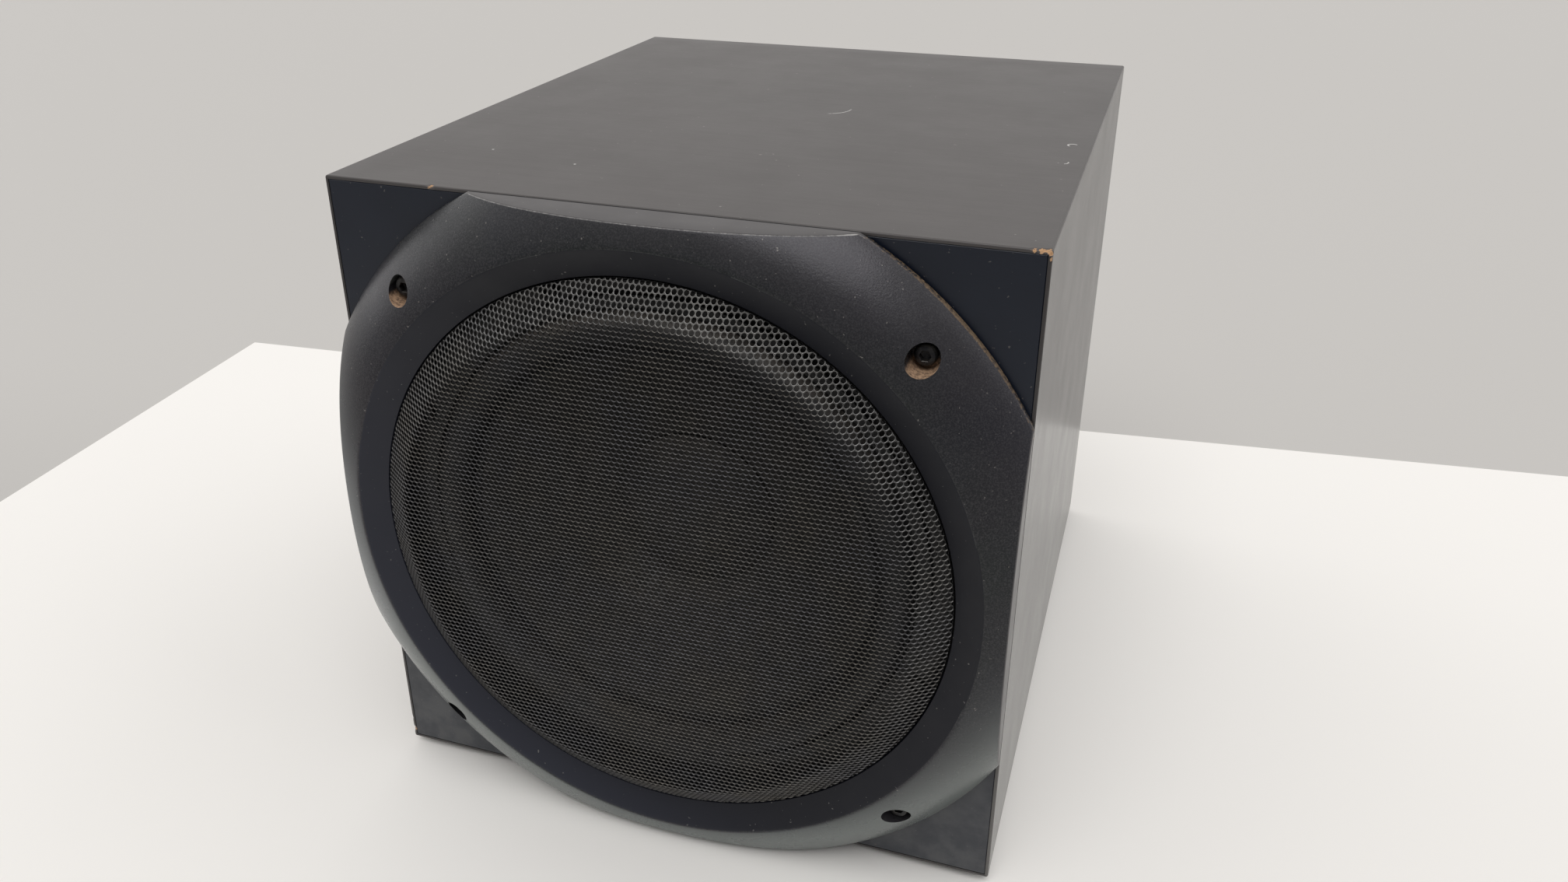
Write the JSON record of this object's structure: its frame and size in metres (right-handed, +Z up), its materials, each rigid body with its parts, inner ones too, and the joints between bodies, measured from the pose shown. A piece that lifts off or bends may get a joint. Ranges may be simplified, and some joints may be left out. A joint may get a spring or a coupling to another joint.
{
  "type": "subwoofer",
  "caption": "Cubic ported subwoofer with a round bezel, domed perforated grille, sprung cone driver, finned rear amplifier plate, sockets and spring terminals.",
  "frame": {"origin": "centre of the floor footprint, on the floor that the feet stand on", "axes": "+Z up, -Y out of the front, +X to the right seen from the front"},
  "size_m": [0.307, 0.384, 0.311],
  "materials": {
    "laminate": "black vinyl laminate on fibreboard, fine grain, satin",
    "baffle_finish": "flat blue-black foil on fibreboard",
    "rear_board_finish": "flat black foil on fibreboard",
    "foot_rubber": "matt",
    "black_screw": "black oxide",
    "bezel_finish": "satin charcoal metallic paint",
    "foam_gasket": "matt foam",
    "grille_finish": "black powder coat, perforated",
    "retainer_finish": "matt",
    "basket_finish": "black paint",
    "surround_rubber": "matt",
    "cone_paper": "coated pulp",
    "spider_cloth": "woven, resin treated",
    "coil_former": "bright",
    "coil_wire": "enamelled copper wire",
    "motor_steel": "zinc plated",
    "ferrite": "ground ferrite",
    "solder_tab": "tinned",
    "amp_plate_finish": "black anodised",
    "sink_finish": "black anodised",
    "terminal_plastic": "matt",
    "red_lever": "gloss",
    "black_lever": "gloss",
    "pin_steel": "bright",
    "socket_finish": "plastic in a plated shell",
    "switch_plastic": "semi-gloss",
    "rocker_plastic": "semi-gloss",
    "fuse_plastic": "matt",
    "inlet_plastic": "matt",
    "plated_pin": "nickel plated",
    "board_laminate": "green solder mask",
    "standoff_brass": "bright",
    "transistor_case": "moulded",
    "capacitor_sleeve": "shrunk sleeve",
    "transformer_winding": "taped winding on a steel core",
    "lead_jacket": "flexible sheath"
  },
  "bodies": {
    "cabinet": {"top_panel": "laminate", "bottom_panel": "laminate", "left_panel": "laminate", "right_panel": "laminate", "front_baffle": "baffle_finish", "rear_panel": "rear_board_finish", "rubber_feet": "foot_rubber", "foot_screws": "black_screw", "port_flare": "terminal_plastic", "port_tube": "terminal_plastic", "front_bezel": "bezel_finish", "bezel_gasket": "foam_gasket", "bezel_screws": "black_screw", "grille": "grille_finish", "grille_retainer": "retainer_finish", "driver_basket": "basket_finish", "surround": "surround_rubber", "surround_clamp": "retainer_finish", "spider": "spider_cloth", "top_plate": "motor_steel", "magnet": "ferrite", "back_plate_and_pole": "motor_steel", "driver_terminals": "solder_tab", "driver_screws": "black_screw", "amp_plate": "amp_plate_finish", "amp_gasket": "foam_gasket", "amp_screws": "black_screw", "heat_sink": "sink_finish", "terminal_block": "terminal_plastic", "terminal_rods": "pin_steel", "control_socket": "socket_finish", "socket_posts": "pin_steel", "switch_housing": "switch_plastic", "fuse_holder": "fuse_plastic", "mains_inlet": "inlet_plastic", "inlet_pins": "plated_pin", "amp_board": "board_laminate", "board_standoffs": "standoff_brass", "power_transistors": "transistor_case", "filter_capacitors": "capacitor_sleeve", "toroidal_transformer": "transformer_winding", "transformer_washer": "pin_steel", "transformer_bolt": "pin_steel", "speaker_lead": "lead_jacket"},
    "cone_assembly": {"cone": "cone_paper", "dust_cap": "cone_paper", "voice_coil_former": "coil_former", "voice_coil": "coil_wire"},
    "power_rocker": {"power_rocker": "rocker_plastic"},
    "fuse_cap": {"fuse_cap": "fuse_plastic"},
    "positive_lever_1": {"positive_lever_1": "red_lever"},
    "positive_lever_2": {"positive_lever_2": "red_lever"},
    "positive_lever_3": {"positive_lever_3": "red_lever"},
    "positive_lever_4": {"positive_lever_4": "red_lever"},
    "positive_lever_5": {"positive_lever_5": "red_lever"},
    "negative_lever_1": {"negative_lever_1": "black_lever"},
    "negative_lever_2": {"negative_lever_2": "black_lever"},
    "negative_lever_3": {"negative_lever_3": "black_lever"},
    "negative_lever_4": {"negative_lever_4": "black_lever"},
    "negative_lever_5": {"negative_lever_5": "black_lever"}
  },
  "joints": [
    {"name": "cone_travel", "type": "slide", "parent": "cabinet", "child": "cone_assembly", "axis": [0, -1, 0], "range_m": [-0.01, 0.01], "stiffness_N_per_m": 4800, "deforming": ["surround", "spider"]},
    {"name": "rocker_tilt", "type": "hinge", "parent": "cabinet", "child": "power_rocker", "pos_m": [0.078, 0.172, 0.0675], "axis": [-1, 0, 0], "range_deg": [0, 24]},
    {"name": "fuse_cap_turn", "type": "hinge", "parent": "cabinet", "child": "fuse_cap", "pos_m": [0.034, 0.17, 0.0675], "axis": [0, 1, 0], "range_deg": [0, 90]},
    {"name": "positive_lever_1_press", "type": "hinge", "parent": "cabinet", "child": "positive_lever_1", "pos_m": [0.078, 0.181, 0.1258], "axis": [1, 0, 0], "range_deg": [0, 18], "stiffness_Nm_per_rad": 0.05},
    {"name": "positive_lever_2_press", "type": "hinge", "parent": "cabinet", "child": "positive_lever_2", "pos_m": [0.054, 0.181, 0.1258], "axis": [1, 0, 0], "range_deg": [0, 18], "stiffness_Nm_per_rad": 0.05},
    {"name": "positive_lever_3_press", "type": "hinge", "parent": "cabinet", "child": "positive_lever_3", "pos_m": [0.03, 0.181, 0.1258], "axis": [1, 0, 0], "range_deg": [0, 18], "stiffness_Nm_per_rad": 0.05},
    {"name": "positive_lever_4_press", "type": "hinge", "parent": "cabinet", "child": "positive_lever_4", "pos_m": [0.006, 0.181, 0.1258], "axis": [1, 0, 0], "range_deg": [0, 18], "stiffness_Nm_per_rad": 0.05},
    {"name": "positive_lever_5_press", "type": "hinge", "parent": "cabinet", "child": "positive_lever_5", "pos_m": [-0.018, 0.181, 0.1258], "axis": [1, 0, 0], "range_deg": [0, 18], "stiffness_Nm_per_rad": 0.05},
    {"name": "negative_lever_1_press", "type": "hinge", "parent": "cabinet", "child": "negative_lever_1", "pos_m": [0.078, 0.181, 0.1068], "axis": [1, 0, 0], "range_deg": [0, 18], "stiffness_Nm_per_rad": 0.05},
    {"name": "negative_lever_2_press", "type": "hinge", "parent": "cabinet", "child": "negative_lever_2", "pos_m": [0.054, 0.181, 0.1068], "axis": [1, 0, 0], "range_deg": [0, 18], "stiffness_Nm_per_rad": 0.05},
    {"name": "negative_lever_3_press", "type": "hinge", "parent": "cabinet", "child": "negative_lever_3", "pos_m": [0.03, 0.181, 0.1068], "axis": [1, 0, 0], "range_deg": [0, 18], "stiffness_Nm_per_rad": 0.05},
    {"name": "negative_lever_4_press", "type": "hinge", "parent": "cabinet", "child": "negative_lever_4", "pos_m": [0.006, 0.181, 0.1068], "axis": [1, 0, 0], "range_deg": [0, 18], "stiffness_Nm_per_rad": 0.05},
    {"name": "negative_lever_5_press", "type": "hinge", "parent": "cabinet", "child": "negative_lever_5", "pos_m": [-0.018, 0.181, 0.1068], "axis": [1, 0, 0], "range_deg": [0, 18], "stiffness_Nm_per_rad": 0.05}
  ]
}
